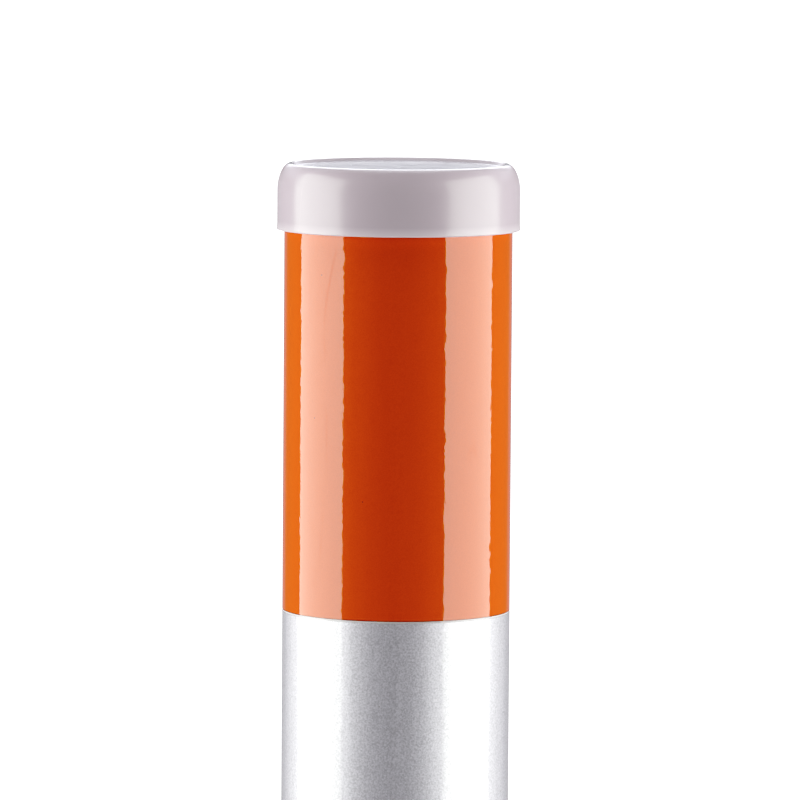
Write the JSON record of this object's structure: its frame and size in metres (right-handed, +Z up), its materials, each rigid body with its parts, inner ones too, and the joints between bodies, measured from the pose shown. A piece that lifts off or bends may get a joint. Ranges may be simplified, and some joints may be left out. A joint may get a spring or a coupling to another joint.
{
  "type": "delineator post",
  "caption": "Tubular plastic delineator post with orange and silver reflective bands, a dished push-on cap, and a gusseted bolt-down steel base.",
  "frame": {"origin": "centre of the underside of the base pad, at ground level", "axes": "+Z up along the post; -Y is the front, and the sheeting's lapped ends are at the back, +Y"},
  "size_m": [0.22, 0.22, 1],
  "materials": {
    "cap_plastic": "white moulded plastic, glossy",
    "tube_plastic": "white extruded rigid PVC",
    "orange_sheeting": "glossy deep-orange retroreflective film",
    "silver_sheeting": "silver-grey glass-bead retroreflective film",
    "pad_rubber": "black rubber, matte",
    "galvanised_steel": "hot-dip galvanised, dull",
    "zinc_fastener": "zinc plated",
    "spacer_steel": "zinc-plated steel tube",
    "insert_nylon": "blue nylon"
  },
  "bodies": {
    "post": {"post_tube": "tube_plastic", "sheeting_orange_upper": "orange_sheeting", "sheeting_silver_upper": "silver_sheeting", "sheeting_orange_lower": "orange_sheeting", "sheeting_silver_lower": "silver_sheeting", "base_pad": "pad_rubber", "base_plate": "galvanised_steel", "post_socket": "galvanised_steel", "gusset_front": "galvanised_steel", "gusset_right": "galvanised_steel", "gusset_back": "galvanised_steel", "gusset_left": "galvanised_steel", "cross_bolt_lower": "zinc_fastener", "cross_bolt_upper": "zinc_fastener", "spacer_tube_lower": "spacer_steel", "spacer_tube_upper": "spacer_steel", "head_washer_lower": "zinc_fastener", "head_washer_upper": "zinc_fastener", "nut_washer_lower": "zinc_fastener", "nut_washer_upper": "zinc_fastener", "lock_nut_lower": "zinc_fastener", "lock_nut_upper": "zinc_fastener", "lock_nut_inserts": "insert_nylon"},
    "cap": {"top_cap": "cap_plastic"}
  },
  "joints": [
    {"name": "cap_pull", "type": "slide", "parent": "post", "child": "cap", "axis": [0, 0, 1], "range_m": [0, 0.045]}
  ]
}
